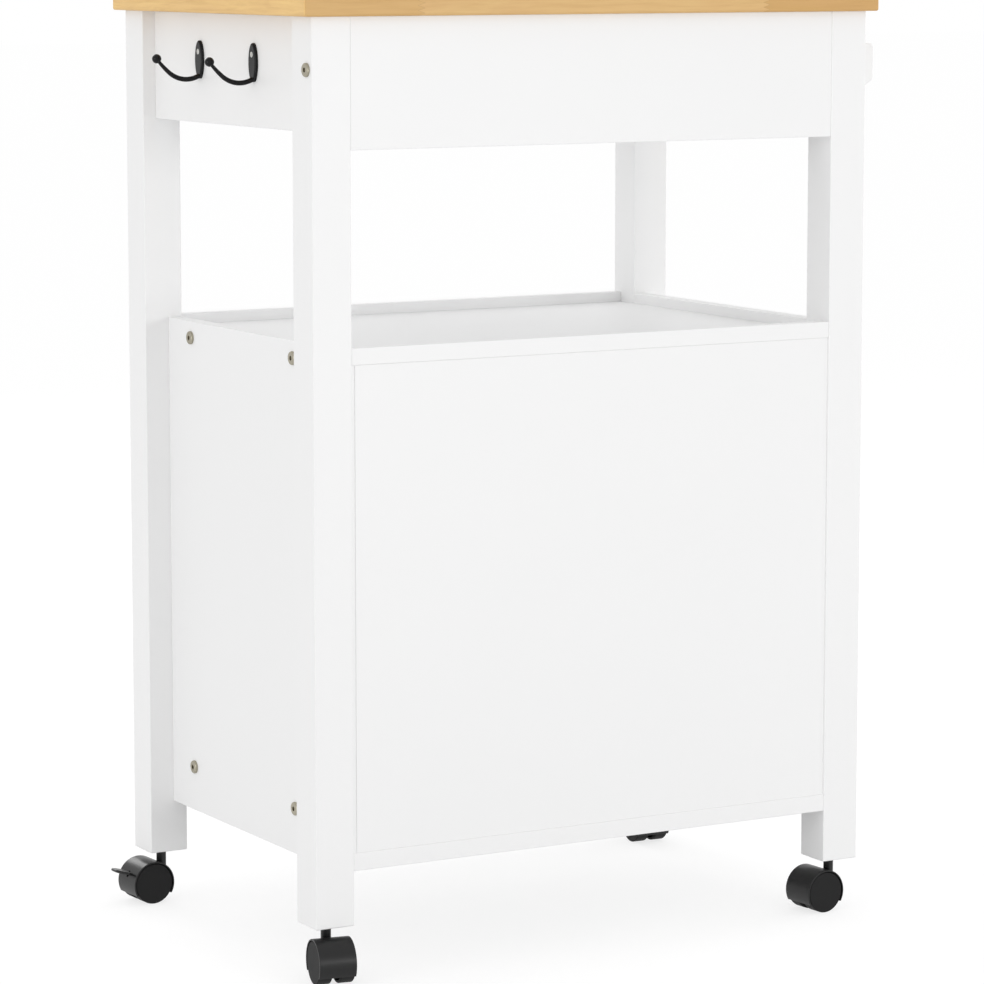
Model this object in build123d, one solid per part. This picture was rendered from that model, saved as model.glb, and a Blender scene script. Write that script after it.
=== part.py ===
from build123d import *
import os
from math import asin, cos, radians, sin

# Kitchen trolley with a drawer, an open shelf bay and a two door cabinet, on four casters.
# Millimetres. X runs to the right as seen from the front, Y to the back and Z up.
# The origin is on the floor, at the centre of the four legs.

# Worktop
worktop_length = 600.0
worktop_depth = 400.0
worktop_thickness = 18.0
worktop_round = 2.0

# Legs
frame_width = 580.0
frame_depth = 386.0
leg_section = 38.0
leg_length = 806.0
leg_round = 0.9
leg_foot_ease = 0.7
caster_height = 50.0

# Edge easing of painted boards, and how far flush faces stand back from the legs
board_ease = 0.4
flush_recess = 0.5

# Aprons under the worktop
apron_thickness = 18.0
back_apron_height = 116.0
side_apron_height = 101.0
side_apron_inset = 13.0

# Drawer
drawer_rail_thickness = 15.0
drawer_gap = 2.0
drawer_front_thickness = 15.0
drawer_side_thickness = 12.0
drawer_side_height = 68.0
drawer_side_clearance = 1.5
drawer_lift = 4.0
drawer_back_gap = 27.5
drawer_bottom_thickness = 4.0
drawer_bottom_lift = 8.0
drawer_groove_depth = 6.0
drawer_panel_clearance = 0.1
runner_height = 11.0
runner_lift = 33.0
runner_groove_depth = 8.0
runner_clearance = 0.1
runner_end_gap = 3.0

# Cabinet
cabinet_lift = 49.5
cabinet_height = 467.5
panel_thickness = 14.0
rail_thickness = 13.0
shelf_rail_height = 15.0
shelf_recess = 10.0
shelf_thickness = 15.0
back_rail_height = 16.0
floor_lift = 32.5
floor_thickness = 15.0
back_panel_recess = 0.5
back_panel_margin = 3.5
back_panel_step = 0.8

# Doors and their hinges
door_thickness = 12.0
door_gap = 2.0
door_meeting_gap = 3.0
hinge_height = 50.0
hinge_depth = 11.0
hinge_inset = 60.0
leaf_thickness = 0.9
leaf_screw_length = 12.0
knuckle_radius = 2.6
knuckle_standoff = 0.3
knuckle_clearance = 0.15
hinge_pin_radius = 1.4
hinge_pin_head_radius = 2.0
hinge_pin_head_height = 1.4

# Knobs
knob_radius = 14.0
knob_height = 23.0
knob_base_radius = 8.0
knob_base_height = 2.2
knob_neck_radius = 5.5
knob_dome = 4.0
knob_rim_height = 3.0
knob_rim_round = 1.3
knob_stud_radius = 2.0
knob_stud_length = 8.0
door_knob_inset = 28.0
door_knob_drop = 70.0

# Magnetic catches
catch_width = 40.0
catch_height = 12.0
catch_length = 20.0
catch_offset = 30.0
catch_clearance = 0.3
strike_width = 24.0
strike_height = 10.0
strike_thickness = 1.0

# Hooks on the right apron
hook_spacing = 111.0
hook_drop = 42.0
hook_plate_height = 35.0
hook_plate_width = 15.0
hook_plate_thickness = 3.0
hook_plate_round = 1.6
hook_plate_drop = 1.2
hook_arm_radius = 2.2
hook_tip_radius = 1.4
hook_ball_radius = 4.3
hook_reach = 44.5
hook_dip = 19.1
hook_screw_above = 6.0
hook_screw_length = 16.0
hook_peg_below = 8.0
hook_peg_radius = 1.5
hook_peg_length = 6.0

# Towel rail on the left apron
towel_bar_radius = 8.0
towel_bar_reach = 36.0
bracket_reach = 52.0
bracket_thickness = 14.0
bracket_inset = 12.0
bracket_top_drop = 31.5
bracket_root_height = 66.0
bracket_tip_height = 34.0
bracket_corner_round = 3.0
bracket_ease = 0.8
bar_socket_depth = 7.0

# Steel angle brackets under the worktop
angle_leg = 20.0
angle_width = 16.0
angle_thickness = 1.5
side_angle_inset = 65.0
back_angle_inset = 102.0

# Wood screws
screw_radius = 1.6
screw_head_radius = 3.3
screw_head_height = 2.0
screw_head_round = 0.9
screw_slot_width = 0.8
screw_slot_depth = 0.8
flat_head_radius = 2.5

# Socket bolts and barrel nuts
bolt_radius = 3.0
bolt_head_radius = 6.2
bolt_head_height = 2.4
bolt_head_round = 1.2
bolt_socket_radius = 2.3
bolt_socket_depth = 1.8
bolt_inset = 49.0
bolt_grip = 32.0
bolt_tip = 6.0
bolt_drop = 5.5
leg_bolt_drop = 46.0
nut_radius = 4.5
nut_length = 10.0

# Clearance of pins, shanks and bars in their holes
fit_clearance = 0.05
hole_tip_clearance = 0.5

# Casters
wheel_radius = 19.5
wheel_width = 13.0
wheel_spacing = 8.0
wheel_round = 1.0
wheel_hub_radius = 6.0
wheel_rim_thickness = 2.2
wheel_disc_thickness = 5.0
wheel_clearance = 0.5
hood_clearance = 0.7
hood_wall = 1.3
hood_side_margin = 0.3
hood_ground_clearance = 9.0
hood_round = 0.4
caster_trail = 16.5
neck_radius = 4.7
neck_gap = 0.4
stem_radius = 3.8
stem_seat = 1.0
stem_rise = 36.0
socket_radius = 5.5
socket_depth = 40.0
axle_radius = 2.0
axle_cover = 3.0
caster_headings = {"front_left": 86.0, "front_right": 3.0, "back_left": 5.0, "back_right": 80.0}

# Brake levers on the two front casters, in the caster's own plane, measured from the wheel's centre
braked_casters = ("front_left", "front_right")
brake_pivot_out = 13.5
brake_pivot_up = 0.5
brake_bar_out = 12.3
brake_bar_up = 7.8
brake_bar_radius = 1.5
brake_bar_reach = 6.0
brake_eye_radius = 2.8
brake_pin_radius = 1.0
brake_tongue_thickness = 2.8
brake_tongue_clearance = 0.3
pedal_angle = 16.0
pedal_start_out = 20.0
pedal_start_up = 10.3
pedal_length = 16.0
pedal_width = 20.0
pedal_tip_width = 11.0
pedal_thickness = 2.6
pedal_round = 0.7

# Planes worked out from the sizes above
leg_bottom = caster_height
leg_top = leg_bottom + leg_length
worktop_top = leg_top + worktop_thickness
outer_x = frame_width / 2
outer_y = frame_depth / 2
inner_x = outer_x - leg_section
inner_y = outer_y - leg_section
leg_x = outer_x - leg_section / 2
leg_y = outer_y - leg_section / 2
apron_face_x = outer_x - side_apron_inset
apron_inner_x = apron_face_x - apron_thickness
back_apron_face_y = outer_y - flush_recess
back_apron_inner_y = back_apron_face_y - apron_thickness
opening_bottom = leg_top - side_apron_height + drawer_rail_thickness
drawer_half = inner_x - drawer_side_clearance
drawer_inner_half = drawer_half - drawer_side_thickness
drawer_box_front_y = -outer_y + drawer_front_thickness
drawer_box_back_y = back_apron_inner_y - drawer_back_gap
drawer_bottom_z = opening_bottom + drawer_lift
drawer_top_z = drawer_bottom_z + drawer_side_height
runner_inner_x = drawer_half - runner_groove_depth + runner_clearance
runner_bottom_z = opening_bottom + runner_lift
cabinet_bottom = leg_bottom + cabinet_lift
cabinet_top = cabinet_bottom + cabinet_height
panel_face_x = inner_x + panel_thickness
rail_inner_y = outer_y - rail_thickness
shelf_top = cabinet_top - shelf_recess
shelf_bottom = shelf_top - shelf_thickness
floor_bottom = cabinet_bottom + floor_lift
floor_top = floor_bottom + floor_thickness
door_bottom = floor_top + door_gap
door_top = cabinet_top - shelf_rail_height - door_gap
door_back_y = -outer_y + door_thickness
hinge_x = inner_x - door_gap / 2
hinge_y = -outer_y - knuckle_radius - knuckle_standoff
hinge_heights = (door_bottom + hinge_inset, door_top - hinge_inset)
hook_z = leg_top - hook_drop
bracket_top_z = leg_top - bracket_top_drop
bracket_y = inner_y - bracket_inset
bracket_inner_y = bracket_y - bracket_thickness / 2
bar_x = apron_face_x + towel_bar_reach
bar_z = bracket_top_z - bracket_tip_height / 2
web_half = wheel_spacing / 2 - wheel_clearance
wheel_outer = wheel_spacing / 2 + wheel_width
hood_inner_radius = wheel_radius + hood_clearance
hood_radius = hood_inner_radius + hood_wall
hood_half = wheel_outer + hood_side_margin
wheel_space_top = max(0, hood_inner_radius ** 2 - (caster_trail - stem_radius) ** 2) ** 0.5
stem_base = wheel_radius + wheel_space_top + stem_seat

UPWARD = (Align.CENTER, Align.CENTER, Align.MIN)


def block(x0, x1, y0, y1, z0, z1):
    centre = Pos((x0 + x1) / 2, (y0 + y1) / 2, (z0 + z1) / 2)
    return centre * Box(x1 - x0, y1 - y0, z1 - z0)


def board(x0, x1, y0, y1, z0, z1):
    ease = min(board_ease, 0.2 * min(x1 - x0, y1 - y0, z1 - z0))
    solid = block(x0, x1, y0, y1, z0, z1)
    return chamfer(solid.edges(), ease)


def mirrored(solid):
    return mirror(solid, about=Plane.YZ)


def rod(at, direction, radius, length):
    return Plane(origin=at, z_dir=direction) * Cylinder(radius, length, align=UPWARD)


def sides(right):
    return {"right": right, "left": mirrored(right)}


def near(a, b):
    box_a = a.bounding_box()
    box_b = b.bounding_box()
    low = [max(p, q) for p, q in zip(box_a.min, box_b.min)]
    high = [min(p, q) for p, q in zip(box_a.max, box_b.max)]
    return all(p < q for p, q in zip(low, high))


def drilled(solid, holes):
    for hole in holes:
        if near(solid, hole):
            solid = solid - hole
    return solid


# Fasteners: each makes a solid and the hole that clears it

def pan_screw(at, direction, length):
    place = Plane(origin=at, z_dir=direction)
    head = Pos(0, 0, -screw_head_height) * Cylinder(screw_head_radius, screw_head_height, align=UPWARD)
    head = fillet(head.edges().sort_by(Axis.Z)[0], screw_head_round)
    slot = Box(screw_head_radius, screw_slot_width, 2 * screw_slot_depth)
    cross = slot + Rot(0, 0, 90) * slot
    head = head - Pos(0, 0, -screw_head_height) * cross
    shank = Cylinder(screw_radius, length, align=UPWARD)
    hole = Cylinder(screw_radius + fit_clearance, length + hole_tip_clearance, align=UPWARD)
    seat = Pos(0, 0, -screw_head_height) * Cylinder(screw_head_radius + fit_clearance, screw_head_height,
                                                    align=UPWARD)
    return place * (head + shank), place * (hole + seat)


def flat_screw(at, direction, length):
    place = Plane(origin=at, z_dir=direction)
    cone = flat_head_radius - screw_radius
    head = Cone(flat_head_radius, screw_radius, cone, align=UPWARD)
    shank = Cylinder(screw_radius, length, align=UPWARD)
    slot = Box(flat_head_radius * 1.4, screw_slot_width, screw_slot_width)
    screw = head + shank - slot
    hole_cone = Cone(flat_head_radius + fit_clearance, screw_radius + fit_clearance, cone, align=UPWARD)
    hole = Cylinder(screw_radius + fit_clearance, length + hole_tip_clearance, align=UPWARD)
    return place * screw, place * (hole_cone + hole)


def socket_bolt(at, direction, length, nut_axis):
    place = Plane(origin=at, z_dir=direction)
    head = Pos(0, 0, -bolt_head_height) * Cylinder(bolt_head_radius, bolt_head_height, align=UPWARD)
    head = fillet(head.edges().sort_by(Axis.Z)[0], bolt_head_round)
    recess = extrude(RegularPolygon(bolt_socket_radius, 6), amount=bolt_socket_depth)
    head = head - Pos(0, 0, -bolt_head_height) * recess
    shank = Cylinder(bolt_radius, length, align=UPWARD)
    hole = Cylinder(bolt_radius + fit_clearance, length + hole_tip_clearance, align=UPWARD)
    centre = Vector(*at) + Vector(*direction) * (length - bolt_tip)
    nut_start = centre - Vector(*nut_axis) * (nut_length / 2)
    nut = rod(tuple(nut_start), nut_axis, nut_radius, nut_length) - place * hole
    nut_hole = rod(tuple(nut_start), nut_axis, nut_radius + fit_clearance, nut_length)
    mouth = rod(tuple(nut_start), tuple(-Vector(*nut_axis)), nut_radius + fit_clearance, leg_section)
    return place * (head + shank), nut, place * hole, nut_hole + mouth


def frame_bolts():
    bolts = []
    nuts = []
    holes = []
    for side in (1, -1):
        inward = (-side, 0, 0)
        for y in (bolt_inset - inner_y, inner_y - bolt_inset):
            for z in (shelf_top - bolt_drop, floor_top - bolt_drop):
                seat = (side * panel_face_x, y, z)
                made = socket_bolt(seat, inward, panel_thickness + bolt_grip, (0, 0, 1))
                bolts.append(made[0])
                nuts.append(made[1])
                holes += made[2:]
        leg_seat = (side * outer_x, back_apron_face_y - apron_thickness / 2, leg_top - leg_bolt_drop)
        made = socket_bolt(leg_seat, inward, leg_section + bolt_grip, (0, 1, 0))
        bolts.append(made[0])
        nuts.append(made[1])
        holes += made[2:]
    return bolts, nuts, holes


def angle_places():
    places = []
    for side in (1, -1):
        for y in (side_angle_inset - inner_y, inner_y - side_angle_inset):
            places.append(((side * apron_inner_x, y, leg_top), (-side, 0, 0)))
        places.append(((side * (inner_x - back_angle_inset), back_apron_inner_y, leg_top), (0, -1, 0)))
    return places


def angle_bracket(at, outward):
    upright = Box(angle_thickness, angle_width, angle_leg, align=(Align.MIN, Align.CENTER, Align.MAX))
    flat = Box(angle_leg, angle_width, angle_thickness, align=(Align.MIN, Align.CENTER, Align.MAX))
    return Plane(origin=at, x_dir=outward, z_dir=(0, 0, 1)) * (upright + flat)


def angle_screws(at, outward):
    out = Vector(*outward)
    corner = Vector(*at)
    up_seat = corner + out * (angle_leg * 0.65) - Vector(0, 0, angle_thickness)
    side_seat = corner + out * angle_thickness - Vector(0, 0, angle_leg * 0.65)
    length = min(worktop_thickness, apron_thickness) * 0.75
    return [pan_screw(tuple(up_seat), (0, 0, 1), length),
            pan_screw(tuple(side_seat), tuple(-out), length)]


def runner_screws():
    screws = []
    for side in (1, -1):
        for y in (-leg_y, leg_y):
            seat = (side * (runner_inner_x + screw_head_height), y, runner_bottom_z + runner_height / 2)
            screws.append(pan_screw(seat, (side, 0, 0), leg_section / 2))
    return screws


def catch_screws():
    screws = []
    for side in (1, -1):
        seat = (side * catch_offset, catch_front_y() + catch_length / 2, shelf_bottom - catch_height)
        screws.append(pan_screw(seat, (0, 0, 1), catch_height + shelf_thickness / 2))
    return screws


def bracket_screws():
    screws = []
    for y in (-bracket_y, bracket_y):
        for drop in (0.2, 0.75):
            seat = (-apron_inner_x, y, bracket_top_z - bracket_root_height * drop)
            length = apron_thickness + (bracket_reach - towel_bar_reach) / 2
            screws.append(pan_screw(seat, (-1, 0, 0), length))
    return screws


def leaf_screw_heights():
    return [z + offset for z in hinge_heights for offset in (-hinge_height * 0.32, hinge_height * 0.32)]


def leaf_screws(side, into_leg):
    screws = []
    y = -outer_y + hinge_depth / 2
    for z in leaf_screw_heights():
        if into_leg:
            seat = (side * (inner_x - leaf_thickness), y, z)
            screws.append(flat_screw(seat, (side, 0, 0), leaf_screw_length))
        else:
            seat = (side * (inner_x - door_gap + leaf_thickness), y, z)
            screws.append(flat_screw(seat, (-side, 0, 0), leaf_screw_length))
    return screws


def hook_screws():
    face = apron_face_x + hook_plate_thickness
    seats = [(face, side * hook_spacing / 2, hook_z + hook_screw_above) for side in (1, -1)]
    return [flat_screw(seat, (-1, 0, 0), hook_screw_length) for seat in seats]


# Worktop and frame

def worktop():
    x = worktop_length / 2
    y = worktop_depth / 2
    top = block(-x, x, -y, y, leg_top, worktop_top)
    return fillet(top.edges(), min(worktop_round, worktop_thickness / 3))


def leg(x, y):
    half = leg_section / 2
    post = block(x - half, x + half, y - half, y + half, leg_bottom, leg_top)
    post = fillet(post.edges().filter_by(Axis.Z), leg_round)
    post = chamfer(post.faces().sort_by(Axis.Z)[-1].edges(), min(board_ease, leg_round / 2))
    post = chamfer(post.faces().sort_by(Axis.Z)[0].edges(), leg_foot_ease)
    return post - rod((x, y, leg_bottom), (0, 0, 1), socket_radius + fit_clearance, socket_depth)


def back_apron():
    bottom = leg_top - back_apron_height
    return board(-inner_x, inner_x, back_apron_inner_y, back_apron_face_y, bottom, leg_top)


def side_apron():
    return board(apron_inner_x, apron_face_x, -inner_y, inner_y, leg_top - side_apron_height, leg_top)


def drawer_rail():
    front = -outer_y + flush_recess
    bottom = leg_top - side_apron_height
    return board(-inner_x, inner_x, front, -inner_y, bottom, opening_bottom)


# Drawer and its runners

def drawer_runner():
    top = runner_bottom_z + runner_height
    front = drawer_box_front_y + runner_end_gap
    return board(runner_inner_x, inner_x, front, back_apron_inner_y, runner_bottom_z, top)


def runner_groove():
    low = runner_bottom_z - runner_clearance
    high = runner_bottom_z + runner_height + runner_clearance
    depth = drawer_half - runner_groove_depth
    return block(depth, inner_x, drawer_box_front_y, drawer_box_back_y + runner_end_gap, low, high)


def drawer_bottom(clearance=0.0):
    half = drawer_inner_half + drawer_groove_depth + clearance
    front = drawer_box_front_y - drawer_groove_depth - clearance
    back = drawer_box_back_y - drawer_side_thickness + drawer_groove_depth + clearance
    low = drawer_bottom_z + drawer_bottom_lift
    return block(-half, half, front, back, low, low + drawer_bottom_thickness + clearance)


def drawer_side():
    side = board(drawer_inner_half, drawer_half, drawer_box_front_y, drawer_box_back_y,
                 drawer_bottom_z, drawer_top_z)
    return side - runner_groove() - drawer_bottom(drawer_panel_clearance)


def drawer_back():
    front = drawer_box_back_y - drawer_side_thickness
    back = board(-drawer_inner_half, drawer_inner_half, front, drawer_box_back_y,
                 drawer_bottom_z, drawer_top_z)
    return back - drawer_bottom(drawer_panel_clearance)


def drawer_front():
    half = inner_x - drawer_gap
    low = opening_bottom + drawer_gap
    high = leg_top - drawer_gap
    front = board(-half, half, -outer_y, drawer_box_front_y, low, high)
    return front - drawer_bottom(drawer_panel_clearance)


def knob_place_drawer():
    return (0, -outer_y, (opening_bottom + leg_top) / 2)


def knob_place_door():
    return (door_meeting_gap / 2 + door_knob_inset, -outer_y, door_top - door_knob_drop)


def knob(at):
    ball = (knob_radius ** 2 + knob_dome ** 2) / (2 * knob_dome)
    half_angle = asin(min(1.0, knob_radius / ball)) / 2
    crown = (ball * sin(half_angle), knob_height - ball * (1 - cos(half_angle)))
    rim_top = knob_height - knob_dome
    neck_top = (knob_base_height + rim_top) / 2
    with BuildSketch(Plane.XZ) as profile:
        with BuildLine():
            Polyline((0, -knob_stud_length), (knob_stud_radius, -knob_stud_length), (knob_stud_radius, 0),
                     (knob_base_radius, 0), (knob_base_radius, knob_base_height),
                     (knob_neck_radius, knob_base_height), (knob_neck_radius, neck_top),
                     (knob_radius, rim_top - knob_rim_height), (knob_radius, rim_top))
            ThreePointArc((knob_radius, rim_top), crown, (0, knob_height))
            Line((0, knob_height), (0, -knob_stud_length))
        make_face()
    body = revolve(profile.sketch, axis=Axis.Z)
    rims = body.edges().filter_by(GeomType.CIRCLE).filter_by(lambda e: e.radius > knob_radius - 0.01)
    body = fillet(rims, min(knob_rim_round, knob_rim_height / 2.2))
    return Plane(origin=at, z_dir=(0, -1, 0)) * body


def knob_hole(at):
    return rod(at, (0, 1, 0), knob_stud_radius + fit_clearance, knob_stud_length + hole_tip_clearance)


# Cabinet

def side_panel():
    return board(inner_x, panel_face_x, -inner_y, inner_y, cabinet_bottom, cabinet_top)


def shelf_board():
    return board(-inner_x, inner_x, -rail_inner_y, rail_inner_y, shelf_bottom, shelf_top)


def floor_board():
    return board(-inner_x, inner_x, -rail_inner_y, rail_inner_y, floor_bottom, floor_top)


def shelf_rail(side):
    face = side * (outer_y - flush_recess)
    low, high = sorted((face, side * rail_inner_y))
    return board(-inner_x, inner_x, low, high, cabinet_top - shelf_rail_height, cabinet_top)


def floor_rail_front():
    return board(-inner_x, inner_x, -outer_y + flush_recess, -rail_inner_y, cabinet_bottom, floor_top)


def floor_rail_back():
    top = cabinet_bottom + back_rail_height
    return board(-inner_x, inner_x, rail_inner_y, outer_y - flush_recess, cabinet_bottom, top)


def back_panel():
    low = cabinet_bottom + back_rail_height
    high = cabinet_top - shelf_rail_height
    face = outer_y - flush_recess - back_panel_recess
    edge = inner_x - back_panel_margin
    panel = board(-inner_x, inner_x, rail_inner_y, face, low, high)
    step = block(edge, inner_x, face - back_panel_step, face, low, high)
    return panel - step - mirrored(step)


# Doors, hinges and catches, on the right side

def door():
    edge = inner_x - door_gap
    return board(door_meeting_gap / 2, edge, -outer_y, door_back_y, door_bottom, door_top)


def knuckle(low, high, bore):
    outer = rod((hinge_x, hinge_y, low), (0, 0, 1), knuckle_radius, high - low)
    return outer - rod((hinge_x, hinge_y, low), (0, 0, 1), bore, high - low)


def leaf(at_leg, z):
    third = hinge_height / 3
    low = z - hinge_height / 2
    high = z + hinge_height / 2
    if at_leg:
        x0, x1 = inner_x - leaf_thickness, inner_x
        spans = ((low, low + third), (high - third, high))
        bore = hinge_pin_radius + fit_clearance / 2
    else:
        x0, x1 = inner_x - door_gap, inner_x - door_gap + leaf_thickness
        spans = ((low + third + knuckle_clearance, high - third - knuckle_clearance),)
        bore = hinge_pin_radius + fit_clearance
    plate = block(x0, x1, -outer_y, -outer_y + hinge_depth, low, high)
    for start, end in spans:
        plate += block(x0, x1, hinge_y, -outer_y, start, end) + knuckle(start, end, bore)
        plate -= rod((hinge_x, hinge_y, start), (0, 0, 1), bore, end - start)
    return plate


def hinge_pin(z):
    low = z - hinge_height / 2
    shank = rod((hinge_x, hinge_y, low), (0, 0, 1), hinge_pin_radius, hinge_height)
    foot = rod((hinge_x, hinge_y, low), (0, 0, -1), hinge_pin_head_radius, hinge_pin_head_height)
    top = (hinge_x, hinge_y, low + hinge_height)
    head = rod(top, (0, 0, 1), hinge_pin_head_radius, hinge_pin_head_height)
    return shank + foot + head


def catch_front_y():
    return door_back_y + strike_thickness + catch_clearance


def catch():
    half = catch_width / 2
    front = catch_front_y()
    low = shelf_bottom - catch_height
    return board(catch_offset - half, catch_offset + half, front, front + catch_length, low, shelf_bottom)


def strike():
    half = strike_width / 2
    z = shelf_bottom - catch_height / 2
    back = door_back_y + strike_thickness
    plate = block(catch_offset - half, catch_offset + half, door_back_y, back,
                  z - strike_height / 2, z + strike_height / 2)
    screw = flat_screw((catch_offset, back, z), (0, -1, 0), strike_thickness + door_thickness * 0.6)
    return plate - screw[1], screw


# Hooks

def hook_plate(y):
    centre = (apron_face_x, y, hook_z - hook_plate_drop)
    outline = Plane(origin=centre, x_dir=(0, 1, 0), z_dir=(1, 0, 0)) * Ellipse(hook_plate_width / 2,
                                                                            hook_plate_height / 2)
    plate = extrude(outline, amount=hook_plate_thickness)
    return fillet(plate.faces().sort_by(Axis.X)[-1].edges(), hook_plate_round)


def hook_peg(y, clearance=0.0, tip=0.0):
    root = (apron_face_x, y, hook_z - hook_peg_below)
    return rod(root, (-1, 0, 0), hook_peg_radius + clearance, hook_peg_length + tip)


def hook_arm(y):
    root = (hook_plate_thickness * 0.5, -hook_plate_drop - hook_plate_height * 0.415)
    dip = (hook_reach * 0.32, -hook_dip)
    rise = (hook_reach * 0.72, -hook_dip * 0.67)
    plane = Plane(origin=(apron_face_x, y, hook_z), x_dir=(1, 0, 0), z_dir=(0, -1, 0))
    with BuildLine(plane) as path:
        first = ThreePointArc(root, dip, rise)
        TangentArc(rise, (hook_reach, 0), tangent=first % 1)
    wire = path.wire()
    sections = []
    for share, radius in ((0, hook_arm_radius), (0.5, hook_arm_radius), (1, hook_tip_radius)):
        sections.append(Plane(origin=wire @ share, z_dir=wire % share) * Circle(radius))
    arm = sweep(sections, path=wire, multisection=True)
    return arm & block(apron_face_x, apron_face_x + 2 * hook_reach, y - hook_reach, y + hook_reach,
                       leg_bottom, leg_top)


def hook(y):
    ball = Pos(apron_face_x + hook_reach, y, hook_z) * Sphere(hook_ball_radius)
    return hook_plate(y) + hook_arm(y) + ball + hook_peg(y)


# Towel rail, on the left side

def bar_solid(clearance=0.0):
    half = bracket_inner_y + bar_socket_depth
    return rod((-bar_x, -half, bar_z), (0, 1, 0), towel_bar_radius + clearance, 2 * half)


def towel_bar():
    bar = bar_solid()
    return chamfer(bar.edges().filter_by(GeomType.CIRCLE), board_ease)


def towel_bracket(side):
    tip_x = -apron_face_x - bracket_reach
    root_bottom = bracket_top_z - bracket_root_height
    tip_bottom = bracket_top_z - bracket_tip_height
    with BuildSketch(Plane.XZ) as outline:
        with BuildLine():
            Polyline((-apron_face_x, bracket_top_z), (tip_x, bracket_top_z), (tip_x, tip_bottom),
                     (-apron_face_x, root_bottom), close=True)
        make_face()
        outer = outline.vertices().filter_by(lambda v: v.X < -apron_face_x - 1)
        fillet(outer, bracket_corner_round)
    plate = extrude(outline.sketch, amount=bracket_thickness / 2, both=True)
    plate = chamfer(plate.faces().sort_by(Axis.Y)[0].edges() + plate.faces().sort_by(Axis.Y)[-1].edges(),
                    bracket_ease)
    return Pos(0, side * bracket_y, 0) * plate - bar_solid(fit_clearance)


# Casters, built about the swivel axis with the wheels trailing along +X, then turned and placed

def caster_place(name):
    x = leg_x if name.endswith("right") else -leg_x
    y = leg_y if name.startswith("back") else -leg_y
    return Pos(x, y, 0) * Rot(0, 0, caster_headings[name])


def across(out, up, radius, reach):
    return rod((caster_trail + out, -reach, wheel_radius + up), (0, 1, 0), radius, 2 * reach)


def caster_wheel():
    inner = wheel_spacing / 2
    tyre = rod((caster_trail, inner, wheel_radius), (0, 1, 0), wheel_radius, wheel_width)
    tyre = fillet(tyre.edges().filter_by(GeomType.CIRCLE), wheel_round)
    depth = wheel_width - wheel_disc_thickness
    cup = rod((caster_trail, inner, wheel_radius), (0, 1, 0), wheel_radius - wheel_rim_thickness, depth)
    hub = rod((caster_trail, inner, wheel_radius), (0, 1, 0), wheel_hub_radius, depth)
    bore = across(0, 0, axle_radius + fit_clearance, wheel_outer - axle_cover + hole_tip_clearance)
    return tyre - (cup - hub) - bore


def hood_shell():
    drum = across(0, 0, hood_radius, hood_half)
    drum = fillet(drum.edges().filter_by(GeomType.CIRCLE), hood_round)
    neck_length = caster_height - neck_gap - wheel_radius
    neck = rod((0, 0, wheel_radius), (0, 0, 1), neck_radius, neck_length)
    reach = caster_trail + 2 * hood_radius
    lower = block(-reach, reach, -hood_half, hood_half, -hood_radius, hood_ground_clearance)
    body = drum + neck - lower
    for side in (1, -1):
        space = rod((caster_trail, side * web_half, wheel_radius), (0, side, 0), hood_inner_radius, hood_half)
        body = body - space
    return body


def caster_hood(braked):
    body = hood_shell()
    body = body - rod((0, 0, stem_base), (0, 0, 1), stem_radius + fit_clearance / 2, caster_height)
    body = body - across(0, 0, axle_radius + fit_clearance / 2, hood_half)
    if braked:
        body = body - brake_slot()
    return body


def caster_pins(braked):
    stem = rod((0, 0, stem_base), (0, 0, 1), stem_radius, caster_height - stem_base + stem_rise)
    stem = chamfer(stem.edges().filter_by(GeomType.CIRCLE), stem_radius / 5)
    pins = [stem, across(0, 0, axle_radius, wheel_outer - axle_cover)]
    if braked:
        pins.append(across(brake_pivot_out, brake_pivot_up, brake_pin_radius, web_half))
    return pins


def caster_socket(x, y):
    outer = rod((x, y, leg_bottom), (0, 0, 1), socket_radius, socket_depth - fit_clearance)
    bore = rod((x, y, leg_bottom), (0, 0, 1), stem_radius + fit_clearance, stem_rise + hole_tip_clearance)
    return outer - bore


def brake_slot():
    half = brake_tongue_thickness / 2 + brake_tongue_clearance
    eye_room = brake_eye_radius + brake_tongue_clearance
    arm_room = pedal_thickness / 2 + brake_tongue_clearance
    start = caster_trail + min(brake_pivot_out, brake_bar_out) - eye_room
    end = caster_trail + max(brake_pivot_out, brake_bar_out) + eye_room
    low = wheel_radius + brake_pivot_up - eye_room
    top = wheel_radius + pedal_start_up + arm_room
    pocket = block(start, end, -half, half, low, top)
    window_low = wheel_radius + brake_bar_up - arm_room
    window = block(start, caster_trail + 2 * hood_radius, -half, half, window_low, top)
    bar_out = brake_bar_out + brake_bar_radius / 3
    bar_room = across(bar_out, brake_bar_up, brake_bar_radius * 1.8, brake_bar_reach)
    pin_hole = across(brake_pivot_out, brake_pivot_up, brake_pin_radius + fit_clearance / 2, web_half)
    return pocket + window + bar_room + pin_hole


def pedal():
    length = pedal_length
    with BuildSketch() as outline:
        with BuildLine():
            Polyline((0, -pedal_width / 2), (length * 0.55, -pedal_width / 2), (length, -pedal_tip_width / 2),
                     (length, pedal_tip_width / 2), (length * 0.55, pedal_width / 2), (0, pedal_width / 2),
                     close=True)
        make_face()
        fillet(outline.vertices().filter_by(lambda v: v.X > length * 0.5), length / 5)
    plate = extrude(outline.sketch, amount=pedal_thickness / 2, both=True)
    plate = chamfer(plate.faces().sort_by(Axis.Z)[0].edges() + plate.faces().sort_by(Axis.Z)[-1].edges(),
                    pedal_round)
    start = (caster_trail + pedal_start_out, 0, wheel_radius + pedal_start_up)
    tilt = radians(pedal_angle)
    return Plane(origin=start, x_dir=(cos(tilt), 0, sin(tilt)), z_dir=(-sin(tilt), 0, cos(tilt))) * plate


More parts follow.
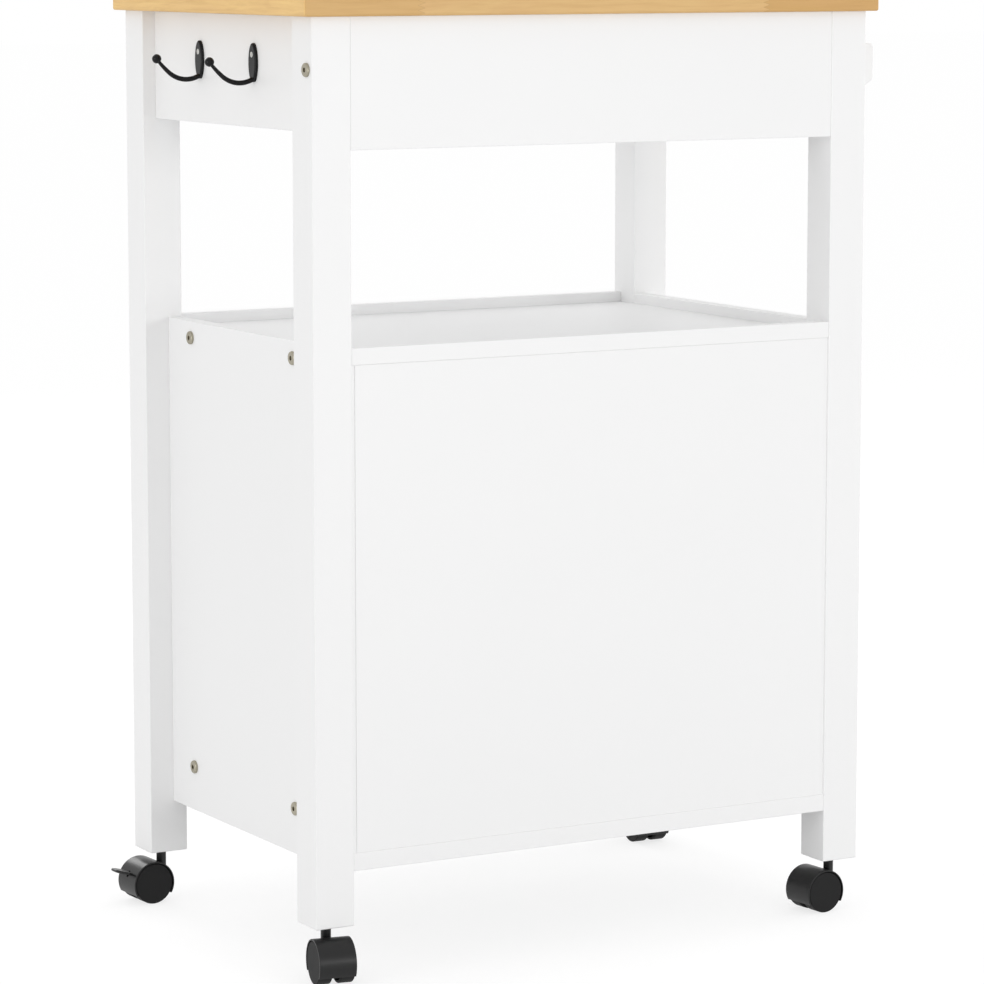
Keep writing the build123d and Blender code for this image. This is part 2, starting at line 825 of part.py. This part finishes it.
def brake_lever():
    reach = brake_tongue_thickness / 2
    eye = across(brake_pivot_out, brake_pivot_up, brake_eye_radius, reach)
    bar_eye = across(brake_bar_out, brake_bar_up, brake_eye_radius, reach)
    run = Vector(pedal_start_out - brake_bar_out, 0, pedal_start_up - brake_bar_up)
    link = Vector(brake_bar_out - brake_pivot_out, 0, brake_bar_up - brake_pivot_up)
    arm = tongue_link(brake_bar_out, brake_bar_up, run, pedal_thickness, reach)
    stalk = tongue_link(brake_pivot_out, brake_pivot_up, link, 2 * brake_eye_radius, reach)
    bar = across(brake_bar_out, brake_bar_up, brake_bar_radius, brake_bar_reach)
    bore = across(brake_pivot_out, brake_pivot_up, brake_pin_radius + fit_clearance, reach)
    return eye + bar_eye + arm + stalk + bar + pedal() - bore


def tongue_link(out, up, run, height, reach):
    start = (caster_trail + out, 0, wheel_radius + up)
    plane = Plane(origin=start, x_dir=tuple(run), z_dir=tuple(run.cross(Vector(0, 1, 0))))
    bar = Box(run.length, 2 * reach, height, align=(Align.MIN, Align.CENTER, Align.CENTER))
    return plane * bar


def solids_of(shapes):
    found = []
    for shape in shapes:
        found += shape.solids()
    return Compound(children=found)


def build():
    bolts, nuts, holes = frame_bolts()
    screws = runner_screws() + catch_screws() + bracket_screws()
    for place in angle_places():
        screws += angle_screws(*place)
    screws += leaf_screws(1, True) + leaf_screws(-1, True)
    hook_fixings = hook_screws()
    holes += [hole for _, hole in screws + hook_fixings]
    hooks = {"hook_front": -hook_spacing / 2, "hook_back": hook_spacing / 2}
    peg_holes = [hook_peg(y, fit_clearance, hole_tip_clearance) for y in hooks.values()]
    nodes = {}
    nodes["worktop"] = drilled(worktop(), holes)
    for name, place in {"front_left": (-1, -1), "front_right": (1, -1), "back_left": (-1, 1),
                        "back_right": (1, 1)}.items():
        nodes["leg_" + name] = drilled(leg(place[0] * leg_x, place[1] * leg_y), holes)
    nodes["apron_back"] = drilled(back_apron(), holes)
    for side, solid in sides(side_apron()).items():
        nodes["apron_" + side] = drilled(solid, holes + peg_holes)
    nodes["drawer_rail"] = drawer_rail()
    for side, solid in sides(drawer_runner()).items():
        nodes["drawer_runner_" + side] = drilled(solid, holes)
    nodes["drawer_front"] = drawer_front() - knob_hole(knob_place_drawer())
    for side, solid in sides(drawer_side()).items():
        nodes["drawer_side_" + side] = solid
    nodes["drawer_back"] = drawer_back()
    nodes["drawer_bottom"] = drawer_bottom()
    nodes["drawer_knob"] = knob(knob_place_drawer())
    nodes["shelf_board"] = drilled(shelf_board(), holes)
    nodes["shelf_rail_front"] = shelf_rail(-1)
    nodes["shelf_rail_back"] = shelf_rail(1)
    for side, solid in sides(side_panel()).items():
        nodes["side_panel_" + side] = drilled(solid, holes)
    nodes["floor_board"] = drilled(floor_board(), holes)
    nodes["floor_rail_front"] = floor_rail_front()
    nodes["floor_rail_back"] = floor_rail_back()
    nodes["back_panel"] = back_panel()
    strike_plate, strike_screw = strike()
    door_screws = leaf_screws(1, False) + [strike_screw]
    door_holes = [hole for _, hole in door_screws] + [knob_hole(knob_place_door())]
    for side, solid in sides(drilled(door(), door_holes)).items():
        nodes["door_" + side] = solid
    for side, solid in sides(knob(knob_place_door())).items():
        nodes["door_knob_" + side] = solid
    fittings = solids_of([strike_plate] + [screw for screw, _ in door_screws])
    for side, solid in sides(fittings).items():
        nodes["door_fittings_" + side] = solid
    fixed = [drilled(leaf(True, z), holes) for z in hinge_heights] + [hinge_pin(z) for z in hinge_heights]
    nodes["hinge_leaves_fixed"] = solids_of(fixed + [mirrored(solid) for solid in fixed])
    moving = solids_of([drilled(leaf(False, z), door_holes) for z in hinge_heights])
    for side, solid in sides(moving).items():
        nodes["hinge_leaves_" + side] = solid
    catches = [drilled(solid, holes) for solid in sides(catch()).values()]
    nodes["door_catches"] = solids_of(catches)
    for name, y in hooks.items():
        nodes[name] = drilled(hook(y), holes)
    nodes["hook_screws"] = solids_of([screw for screw, _ in hook_fixings])
    nodes["towel_bar"] = towel_bar()
    for name, side in {"towel_bracket_front": -1, "towel_bracket_back": 1}.items():
        nodes[name] = drilled(towel_bracket(side), holes)
    nodes["worktop_brackets"] = solids_of([drilled(angle_bracket(*place), holes) for place in angle_places()])
    nodes["wood_screws"] = solids_of([screw for screw, _ in screws])
    nodes["frame_bolts"] = solids_of(bolts + nuts)
    sockets = [caster_socket(x, y) for x in (-leg_x, leg_x) for y in (-leg_y, leg_y)]
    nodes["caster_sockets"] = solids_of(sockets)
    wheel = caster_wheel()
    for name in caster_headings:
        place = caster_place(name)
        braked = name in braked_casters
        nodes["caster_hood_" + name] = place * caster_hood(braked)
        nodes["caster_pins_" + name] = place * solids_of(caster_pins(braked))
        nodes["caster_wheels_" + name] = place * solids_of([wheel, mirror(wheel, about=Plane.XZ)])
        if braked:
            nodes["brake_lever_" + name] = place * brake_lever()
    return nodes


os.makedirs("parts", exist_ok=True)
for node, shape in build().items():
    export_step(shape, "parts/" + node + ".step")
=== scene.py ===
import math

import bmesh
import bpy
from mathutils import Matrix, Vector


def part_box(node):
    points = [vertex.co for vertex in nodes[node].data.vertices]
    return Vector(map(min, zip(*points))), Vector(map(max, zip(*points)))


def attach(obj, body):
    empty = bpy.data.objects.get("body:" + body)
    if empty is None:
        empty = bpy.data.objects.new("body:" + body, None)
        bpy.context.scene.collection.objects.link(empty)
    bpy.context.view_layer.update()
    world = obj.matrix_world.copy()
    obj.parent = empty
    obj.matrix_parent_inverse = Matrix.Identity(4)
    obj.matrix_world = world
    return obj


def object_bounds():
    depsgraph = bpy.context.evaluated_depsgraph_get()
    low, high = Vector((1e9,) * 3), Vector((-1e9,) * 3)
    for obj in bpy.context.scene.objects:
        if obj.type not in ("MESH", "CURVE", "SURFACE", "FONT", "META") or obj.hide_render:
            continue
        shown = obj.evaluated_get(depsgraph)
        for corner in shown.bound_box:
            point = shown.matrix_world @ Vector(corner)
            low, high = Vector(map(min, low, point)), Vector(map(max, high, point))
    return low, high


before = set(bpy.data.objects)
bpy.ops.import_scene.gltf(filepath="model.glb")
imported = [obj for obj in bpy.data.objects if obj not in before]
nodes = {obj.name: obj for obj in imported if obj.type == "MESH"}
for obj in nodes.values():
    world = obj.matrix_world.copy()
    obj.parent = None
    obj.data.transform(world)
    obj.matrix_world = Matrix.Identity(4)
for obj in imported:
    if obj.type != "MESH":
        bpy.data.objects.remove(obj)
cad_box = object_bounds()


def grey(level):
    return (level, level, level, 1.0)


# Camera, fitted to the corners that the photo shows; metres, degrees and millimetres of film
CAMERA_PLACE = (1.8624, 3.2754, 0.9209)
CAMERA_HEADING = 180.0 - 29.605
CAMERA_PITCH = 7.448
CAMERA_LENS = 146.055
CAMERA_SENSOR = 36.0
CAMERA_SHIFT = -0.03
CAMERA_CLIP_END = 100.0

# Disk lamps: name, place, target, diameter in metres, power in watts
LAMPS = (
    ("key", (-0.9, 3.6, 0.7), (0.0, 0.2, 0.5), 1.0, 22.0),
    ("fill", (3.4, 0.7, 0.75), (0.2, 0.0, 0.5), 1.4, 15.5),
    ("left", (-3.3, -0.4, 1.0), (-0.2, 0.0, 0.5), 1.4, 17.0),
    ("front", (0.1, -3.2, 2.1), (0.0, -0.2, 0.5), 1.4, 21.0),
)

# The surroundings as they light the object, and as they show
SKY_LIGHT = 0.84
SKY_SEEN = 1.0
FLOOR_BOUNCE = grey(0.72)
FLOOR_SEEN = grey(0.28)
FLOOR_GLOW = 0.76
FLOOR_SIZE = 30.0
FLOOR_GAP = 0.0002

# Colours, linear
BLACK = grey(0.0)
WHITE = grey(1.0)
LACQUER = grey(0.93)
LACQUER_CLOUD = grey(0.92)
LACQUER_GRAIN = grey(0.89)
# Painted shade: the darker tone laid along the lacquer's sharp edges
LACQUER_PAINTED_EDGE_SHADE = (0.82, 0.82, 0.81, 1.0)
WOOD_LIGHT = (0.78, 0.52, 0.225, 1.0)
WOOD_PALE = (0.70, 0.44, 0.17, 1.0)
WOOD_MIDDLE = (0.64, 0.38, 0.13, 1.0)
WOOD_STREAK = (0.66, 0.38, 0.15, 1.0)
WOOD_DARK = (0.50, 0.27, 0.08, 1.0)
WOOD_BAND = (0.90, 0.60, 0.235, 1.0)
WOOD_GLUE = (0.36, 0.20, 0.09, 1.0)
ENAMEL = (0.004, 0.004, 0.0045, 1.0)
MOULDED_BLACK = (0.005, 0.005, 0.0052, 1.0)
MOULDED_CLOUD = (0.008, 0.008, 0.0082, 1.0)
# Painted highlight: the lighter tone laid along the sharp edges of black enamel and plastic
BLACK_PAINTED_EDGE_HIGHLIGHT = grey(0.020)
ZINC = (0.66, 0.65, 0.62, 1.0)
BOLT = (0.40, 0.37, 0.29, 1.0)
MOULDED_WHITE = (0.82, 0.82, 0.81, 1.0)
MOULDED_WHITE_CLOUD = (0.86, 0.86, 0.85, 1.0)
RUBBER = (0.60, 0.60, 0.58, 1.0)
RUBBER_CLOUD = (0.70, 0.70, 0.68, 1.0)

# The worktop's staves, in metres; the fingers are a zigzag in the line between two lengths
STAVE_WIDTH = 0.040
STAVE_LENGTH = 0.360
FINGER_WIDTH = 0.0022
FINGER_REACH = 9.0
ROW_GAP = 0.010
JOINT_GAP = 0.0015
END_FACE = 0.7

# The soft dots on the doors, in metres; the outline is in shares of radius and height
BUMPER_RADIUS = 0.0042
BUMPER_HEIGHT = 0.0008
BUMPER_FROM_EDGE = 0.060
BUMPER_ABOVE_BOTTOM = 0.020
BUMPER_BELOW_TOP = 0.0035
BUMPER_SIDES = 24
BUMPER_OUTLINE = ((0.0, 0.0), (1.0, 0.0), (1.0, 0.4), (0.8, 0.85), (0.4, 1.0), (0.0, 1.0))

SIDES = ("left", "right")
CORNERS = ("front_left", "front_right", "back_left", "back_right")


class Graph:
    """A node material being built: short names for adding and joining nodes."""

    def __init__(self, name):
        self.material = bpy.data.materials.new(name)
        self.material.use_nodes = True
        self.tree = self.material.node_tree
        self.tree.nodes.clear()
        self.out = self.tree.nodes.new("ShaderNodeOutputMaterial")
        self.shader = self.add("ShaderNodeBsdfPrincipled")
        self.join(self.shader.outputs["BSDF"], self.out.inputs["Surface"])

    def add(self, kind, inputs=None, **settings):
        node = self.tree.nodes.new(kind)
        for key, value in settings.items():
            setattr(node, key, value)
        for key, value in (inputs or {}).items():
            self.set(node, key, value)
        return node

    def set(self, node, key, value):
        if isinstance(value, bpy.types.NodeSocket):
            self.join(value, node.inputs[key])
        else:
            node.inputs[key].default_value = value

    def join(self, source, target):
        self.tree.links.new(source, target)

    def math(self, operation, first, second=0.0):
        return self.add("ShaderNodeMath", {0: first, 1: second}, operation=operation).outputs[0]

    def plus(self, first, second):
        return self.math("ADD", first, second)

    def times(self, first, second):
        return self.math("MULTIPLY", first, second)

    def vector(self, x, y, z):
        return self.add("ShaderNodeCombineXYZ", {0: x, 1: y, 2: z}).outputs["Vector"]

    def parts(self, vector):
        node = self.add("ShaderNodeSeparateXYZ", {0: vector})
        return [node.outputs[i] for i in range(3)]

    def stretch(self, vector, scale):
        node = self.add("ShaderNodeMapping", {"Vector": vector, "Scale": scale})
        return node.outputs["Vector"]

    def coords(self, scale=(1, 1, 1)):
        return self.stretch(self.add("ShaderNodeTexCoord").outputs["Object"], scale)

    def true_normal(self):
        return self.add("ShaderNodeNewGeometry").outputs["True Normal"]

    def noise(self, vector, scale, detail, roughness=0.5, distortion=0.0):
        node = self.add("ShaderNodeTexNoise", {"Vector": vector, "Scale": scale, "Detail": detail,
                                               "Roughness": roughness, "Distortion": distortion})
        return node.outputs["Fac"]

    def hashed(self, x, y, z=0.0):
        """A steady random value for each whole-number cell."""
        node = self.add("ShaderNodeTexWhiteNoise", {"Vector": self.vector(x, y, z)},
                        noise_dimensions="3D")
        return node.outputs["Value"]

    def ramp(self, value, stops):
        node = self.add("ShaderNodeValToRGB", {"Fac": value})
        elements = node.color_ramp.elements
        while len(elements) < len(stops):
            elements.new(0.5)
        for element, (place, colour) in zip(elements, stops):
            element.position = place
            element.color = colour
        return node.outputs["Color"]

    def mask(self, value, low, high):
        """Zero below low and one above high."""
        return self.ramp(value, ((low, BLACK), (high, WHITE)))

    def edge_mask(self, radius):
        """One at a sharp edge and zero on the flat, from the bevelled normal."""
        soft = self.add("ShaderNodeBevel", {"Radius": radius}, samples=4).outputs["Normal"]
        dot = self.add("ShaderNodeVectorMath", {0: soft, 1: self.true_normal()},
                       operation="DOT_PRODUCT").outputs["Value"]
        near = self.times(self.math("SUBTRACT", 1.0, dot), 3.0)
        return self.add("ShaderNodeClamp", {"Value": near}).outputs["Result"]

    def mix(self, share, first, second):
        node = self.add("ShaderNodeMix", {0: share, 6: first, 7: second}, data_type="RGBA")
        return node.outputs[2]

    def scaled(self, value, low, high):
        node = self.add("ShaderNodeMapRange", {"Value": value, "To Min": low, "To Max": high})
        return node.outputs["Result"]

    def bump(self, height, strength, distance):
        node = self.add("ShaderNodeBump", {"Height": height, "Strength": strength,
                                           "Distance": distance})
        self.join(node.outputs["Normal"], self.shader.inputs["Normal"])

    def finish(self, **sockets):
        for key, value in sockets.items():
            self.set(self.shader, key.replace("_", " "), value)
        return self.material


def lacquer(axis):
    """Satin white lacquer over wood, its faint grain along one axis, with shade painted along its
    sharp edges.
    """
    g = Graph("white_lacquer_" + axis.lower())
    lengthways = tuple(0.06 if letter == axis else 1.0 for letter in "XYZ")
    grain = g.noise(g.coords(lengthways), scale=420.0, detail=4.0, roughness=0.6)
    cloud = g.noise(g.coords(), scale=9.0, detail=2.0)
    peel = g.noise(g.coords(), scale=900.0, detail=1.0)
    tone = g.mix(cloud, LACQUER_CLOUD, LACQUER)
    tone = g.mix(g.scaled(grain, 0.0, 0.08), tone, LACQUER_GRAIN)
    # Painted shade: the lacquer is darker along its sharp edges
    tone = g.mix(g.times(g.edge_mask(radius=0.0007), 0.30), tone, LACQUER_PAINTED_EDGE_SHADE)
    g.bump(g.plus(g.times(grain, 0.7), g.times(peel, 0.3)), strength=0.10, distance=0.0003)
    return g.finish(Base_Color=tone, Roughness=g.scaled(cloud, 0.36, 0.46))


def stave_cells(g, x, y, z):
    """The place across the rows, the place along a row and two random values for its length."""
    row_place = g.plus(g.math("DIVIDE", y, STAVE_WIDTH), 0.5)
    row = g.math("FLOOR", row_place)
    shift = g.times(g.hashed(row, 3.0), 5.0)
    length_place = g.plus(g.math("DIVIDE", x, STAVE_LENGTH), shift)
    fingers = g.math("PINGPONG", g.plus(z, y), FINGER_WIDTH)
    length_place = g.plus(length_place, g.times(fingers, FINGER_REACH))
    length = g.math("FLOOR", length_place)
    return row_place, length_place, g.hashed(row, length), g.hashed(length, row, 7.0)


def worktop_wood():
    """Oiled staves along X, each a row of finger-jointed lengths, and end faces of long grain."""
    g = Graph("worktop_wood")
    x, y, z = g.parts(g.coords())
    at_end = g.math("GREATER_THAN", g.math("ABSOLUTE", g.parts(g.true_normal())[0]), END_FACE)
    row_place, length_place, tone, turn = stave_cells(g, x, y, z)
    # Each length of wood is cut from its own place in the grain
    lengthways = g.vector(g.plus(x, g.times(tone, 9.0)), g.plus(y, g.times(turn, 4.0)),
                          g.plus(z, tone))
    place = g.add("ShaderNodeMix", {0: at_end, 4: lengthways, 5: g.vector(y, z, x)},
                  data_type="VECTOR").outputs[1]
    stretched = g.stretch(place, (0.05, 1.0, 1.0))
    wavy = g.stretch(place, (0.16, 1.0, 1.0))
    fibre = g.noise(stretched, scale=300.0, detail=6.0, roughness=0.62, distortion=0.4)
    broad = g.noise(wavy, scale=48.0, detail=4.0, roughness=0.55, distortion=1.6)
    pores = g.noise(stretched, scale=1500.0, detail=2.0)
    staves = g.ramp(tone, ((0.0, WOOD_MIDDLE), (0.45, WOOD_PALE), (1.0, WOOD_LIGHT)))
    colour = g.mix(at_end, staves, WOOD_BAND)
    colour = g.mix(g.times(g.mask(broad, 0.38, 0.66), 0.42), colour, WOOD_STREAK)
    colour = g.mix(g.times(g.mask(fibre, 0.45, 0.72), 0.30), colour, WOOD_DARK)
    # Glue lines between the rows and at the finger joints, but not on the end faces
    row_gap = g.math("LESS_THAN", g.math("PINGPONG", row_place, 0.5), ROW_GAP)
    joint_gap = g.math("LESS_THAN", g.math("PINGPONG", length_place, 0.5), JOINT_GAP)
    gap = g.times(g.math("MAXIMUM", row_gap, joint_gap), g.math("SUBTRACT", 1.0, at_end))
    colour = g.mix(g.times(gap, 0.35), colour, WOOD_GLUE)
    # Painted highlight: the wood is lighter along its sharp edges
    colour = g.mix(g.times(g.edge_mask(radius=0.002), 0.25), colour, WOOD_LIGHT)
    height = g.math("SUBTRACT", g.times(pores, 0.6), g.times(gap, 0.5))
    g.bump(height, strength=0.16, distance=0.0004)
    return g.finish(Base_Color=colour, Roughness=g.scaled(fibre, 0.42, 0.58))


def black_enamel():
    """Glossy black enamel over cast metal, slightly uneven, with a highlight painted along its
    sharp edges.
    """
    g = Graph("black_enamel")
    uneven = g.noise(g.coords(), scale=140.0, detail=2.0)
    speck = g.noise(g.coords(), scale=900.0, detail=2.0)
    # Painted highlight: the enamel is lighter along its sharp edges
    colour = g.mix(g.times(g.edge_mask(radius=0.0008), 0.25), ENAMEL, BLACK_PAINTED_EDGE_HIGHLIGHT)
    g.bump(g.plus(uneven, g.times(speck, 0.1)), strength=0.12, distance=0.0006)
    return g.finish(Base_Color=colour, Roughness=g.scaled(speck, 0.17, 0.27),
                    Specular_IOR_Level=0.22)


def black_plastic(name, rough, bump, specular):
    """Moulded black plastic with a fine spark-eroded skin and a highlight painted along its sharp
    edges.
    """
    g = Graph(name)
    skin = g.noise(g.coords(), scale=2600.0, detail=2.0)
    cloud = g.noise(g.coords(), scale=70.0, detail=2.0)
    colour = g.mix(cloud, MOULDED_BLACK, MOULDED_CLOUD)
    # Painted highlight: the plastic is lighter along its sharp edges
    colour = g.mix(g.times(g.edge_mask(radius=0.0006), 0.2), colour, BLACK_PAINTED_EDGE_HIGHLIGHT)
    g.bump(skin, bump, distance=0.0002)
    return g.finish(Base_Color=colour, Roughness=g.scaled(cloud, rough, rough + 0.06),
                    Specular_IOR_Level=specular)


def bright_steel(name, colour, rough):
    """Plated steel with fine scratches, duller in blotches."""
    g = Graph(name)
    scratches = g.noise(g.coords((1.0, 1.0, 12.0)), scale=300.0, detail=3.0)
    blotch = g.noise(g.coords(), scale=220.0, detail=2.0)
    dull = tuple(c * 0.75 for c in colour[:3]) + (1.0,)
    tone = g.mix(g.times(blotch, 0.5), colour, dull)
    g.bump(scratches, strength=0.05, distance=0.0002)
    return g.finish(Base_Color=tone, Roughness=g.scaled(scratches, rough, rough + 0.14),
                    Metallic=1.0)


def white_plastic():
    """Smooth moulded white plastic."""
    g = Graph("white_plastic")
    cloud = g.noise(g.coords(), scale=60.0, detail=2.0)
    skin = g.noise(g.coords(), scale=1800.0, detail=1.0)
    tone = g.mix(cloud, MOULDED_WHITE, MOULDED_WHITE_CLOUD)
    g.bump(skin, strength=0.05, distance=0.0002)
    return g.finish(Base_Color=tone, Roughness=g.scaled(cloud, 0.32, 0.42))


def bumper_rubber():
    """Pale, slightly mottled rubber."""
    g = Graph("bumper_rubber")
    cloud = g.noise(g.coords(), scale=500.0, detail=2.0)
    tone = g.mix(cloud, RUBBER, RUBBER_CLOUD)
    g.bump(cloud, strength=0.08, distance=0.0002)
    return g.finish(Base_Color=tone, Roughness=g.scaled(cloud, 0.45, 0.6))


def dress_nodes():
    """Give every CAD node its finish; the grain of the lacquer runs along the piece."""
    white = {axis: lacquer(axis) for axis in "XYZ"}
    enamel = black_enamel()
    hood = black_plastic("caster_hood_plastic", rough=0.30, bump=0.08, specular=0.36)
    tread = black_plastic("caster_wheel_plastic", rough=0.60, bump=0.14, specular=0.24)
    steel = bright_steel("zinc_steel", ZINC, rough=0.26)
    bolt = bright_steel("bolt_steel", BOLT, rough=0.22)
    finishes = (
        (worktop_wood(), ["worktop"]),
        (white["X"], ["apron_back", "drawer_rail", "drawer_front", "drawer_back", "drawer_bottom",
                      "shelf_board", "shelf_rail_front", "shelf_rail_back",
                      "floor_board", "floor_rail_front", "floor_rail_back"]),
        (white["Y"], ["towel_bar", "towel_bracket_front", "towel_bracket_back"]),
        (white["Y"], [name + side for name in ("apron_", "drawer_side_", "drawer_runner_")
                      for side in SIDES]),
        (white["Z"], ["leg_" + corner for corner in CORNERS]),
        (white["Z"], ["back_panel", "side_panel_left", "side_panel_right",
                      "door_left", "door_right"]),
        (enamel, ["drawer_knob", "door_knob_left", "door_knob_right", "hook_front", "hook_back"]),
        (steel, ["hinge_leaves_fixed", "hinge_leaves_left", "hinge_leaves_right",
                 "door_fittings_left", "door_fittings_right", "worktop_brackets",
                 "wood_screws", "hook_screws", "caster_sockets"]),
        (steel, ["caster_pins_" + corner for corner in CORNERS]),
        (bolt, ["frame_bolts"]),
        (white_plastic(), ["door_catches"]),
        (hood, ["caster_hood_" + corner for corner in CORNERS]),
        (hood, ["brake_lever_front_left", "brake_lever_front_right"]),
        (tread, ["caster_wheels_" + corner for corner in CORNERS]),
    )
    for material, names in finishes:
        for name in names:
            for entry in nodes[name].material_slots:
                entry.material = material


def add_object(name, data):
    """A new object in the scene."""
    obj = bpy.data.objects.new(name, data)
    bpy.context.scene.collection.objects.link(obj)
    return obj


def mesh_object(name, bm, material, smooth):
    """A new object in the scene, its mesh made from bm and of one material."""
    mesh = bpy.data.meshes.new(name)
    bm.to_mesh(mesh)
    bm.free()
    mesh.materials.append(material)
    for face in mesh.polygons:
        face.use_smooth = smooth
    return add_object(name, mesh)


def piece(name, bm, material, body):
    """A new mesh object that rides on a body and takes its finish from a slot."""
    obj = mesh_object(name, bm, material, smooth=True)
    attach(obj, body)


def turned(bm, profile, place, segments):
    """A solid of revolution about the Z axis of place, from (radius, height) pairs."""
    rings = []
    for radius, height in profile:
        count = segments if radius > 0.0 else 1
        angles = [2 * math.pi * i / count for i in range(count)]
        rings.append([bm.verts.new(place @ Vector((radius * math.cos(angle),
                                                   radius * math.sin(angle), height)))
                      for angle in angles])
    for low, high in zip(rings, rings[1:]):
        for i in range(segments):
            j = (i + 1) % segments
            corners = [low[i % len(low)], low[j % len(low)],
                       high[j % len(high)], high[i % len(high)]]
            # Where a ring is one point, its two corners of the face are the same
            bm.faces.new(list(dict.fromkeys(corners)))
    bmesh.ops.recalc_face_normals(bm, faces=bm.faces[:])


def door_bumpers():
    """Two soft dots inside each door, by its free edge, so that it closes quietly."""
    material = bumper_rubber()
    profile = [(BUMPER_RADIUS * out, BUMPER_HEIGHT * up) for out, up in BUMPER_OUTLINE]
    facing_back = Matrix.Rotation(-math.pi / 2, 4, "X")
    for side, sign in (("left", -1), ("right", 1)):
        low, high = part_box("door_" + side)
        x = (low.x if sign > 0 else high.x) + sign * BUMPER_FROM_EDGE
        bm = bmesh.new()
        for z in (low.z + BUMPER_ABOVE_BOTTOM, high.z - BUMPER_BELOW_TOP - BUMPER_RADIUS):
            turned(bm, profile, Matrix.Translation((x, high.y, z)) @ facing_back, BUMPER_SIDES)
        piece("door_bumpers_" + side, bm, material, "door_" + side + "_leaf")


def seen_rays(tree):
    """One for rays from the camera, also by way of a mirror or glass, and zero for the others."""
    path = tree.nodes.new("ShaderNodeLightPath")
    seen = path.outputs["Is Camera Ray"]
    for kind in ("Is Glossy Ray", "Is Transmission Ray"):
        either = tree.nodes.new("ShaderNodeMath")
        either.operation = "MAXIMUM"
        tree.links.new(seen, either.inputs[0])
        tree.links.new(path.outputs[kind], either.inputs[1])
        seen = either.outputs[0]
    return seen


def backdrop():
    """A pale floor that looks white to the camera and keeps a faint shadow of the object."""
    g = Graph("studio_floor")
    seen = seen_rays(g.tree)
    glow = g.add("ShaderNodeEmission", {"Color": WHITE, "Strength": g.times(seen, FLOOR_GLOW)})
    both = g.add("ShaderNodeAddShader", {0: g.shader.outputs["BSDF"], 1: glow.outputs["Emission"]})
    g.join(both.outputs["Shader"], g.out.inputs["Surface"])
    colour = g.mix(seen, FLOOR_BOUNCE, FLOOR_SEEN)
    material = g.finish(Base_Color=colour, Roughness=1.0, Specular_IOR_Level=0.0)
    bm = bmesh.new()
    bmesh.ops.create_grid(bm, x_segments=1, y_segments=1, size=FLOOR_SIZE)
    floor = mesh_object("studio_floor", bm, material, smooth=False)
    floor.location.z = cad_box[0][2] - FLOOR_GAP


def world_light():
    """A white sky that lights the object a little less than it shows."""
    world = bpy.data.worlds.new("studio")
    bpy.context.scene.world = world
    world.use_nodes = True
    tree = world.node_tree
    background = tree.nodes["Background"]
    mix = tree.nodes.new("ShaderNodeMix")
    mix.inputs[2].default_value = SKY_LIGHT
    mix.inputs[3].default_value = SKY_SEEN
    tree.links.new(seen_rays(tree), mix.inputs[0])
    tree.links.new(mix.outputs[0], background.inputs["Strength"])
    background.inputs["Color"].default_value = WHITE


def area_lamp(name, place, target, size, power):
    """A disk lamp at a place, turned to its target."""
    data = bpy.data.lights.new(name, "AREA")
    data.shape = "DISK"
    data.size = size
    data.energy = power
    lamp = add_object(name, data)
    lamp.location = place
    towards = Vector(target) - Vector(place)
    lamp.rotation_euler = towards.to_track_quat("-Z", "Y").to_euler()


def camera():
    """The photo's view."""
    data = bpy.data.cameras.new("photo_camera")
    data.sensor_width = CAMERA_SENSOR
    data.lens = CAMERA_LENS
    data.shift_y = CAMERA_SHIFT
    data.clip_end = CAMERA_CLIP_END
    view = add_object("photo_camera", data)
    view.location = CAMERA_PLACE
    view.rotation_euler = (math.radians(90.0 - CAMERA_PITCH), 0.0, math.radians(CAMERA_HEADING))
    bpy.context.scene.camera = view


camera()
world_light()
for lamp in LAMPS:
    area_lamp(*lamp)
backdrop()
dress_nodes()
door_bumpers()
bpy.context.scene.view_settings.view_transform = "Standard"
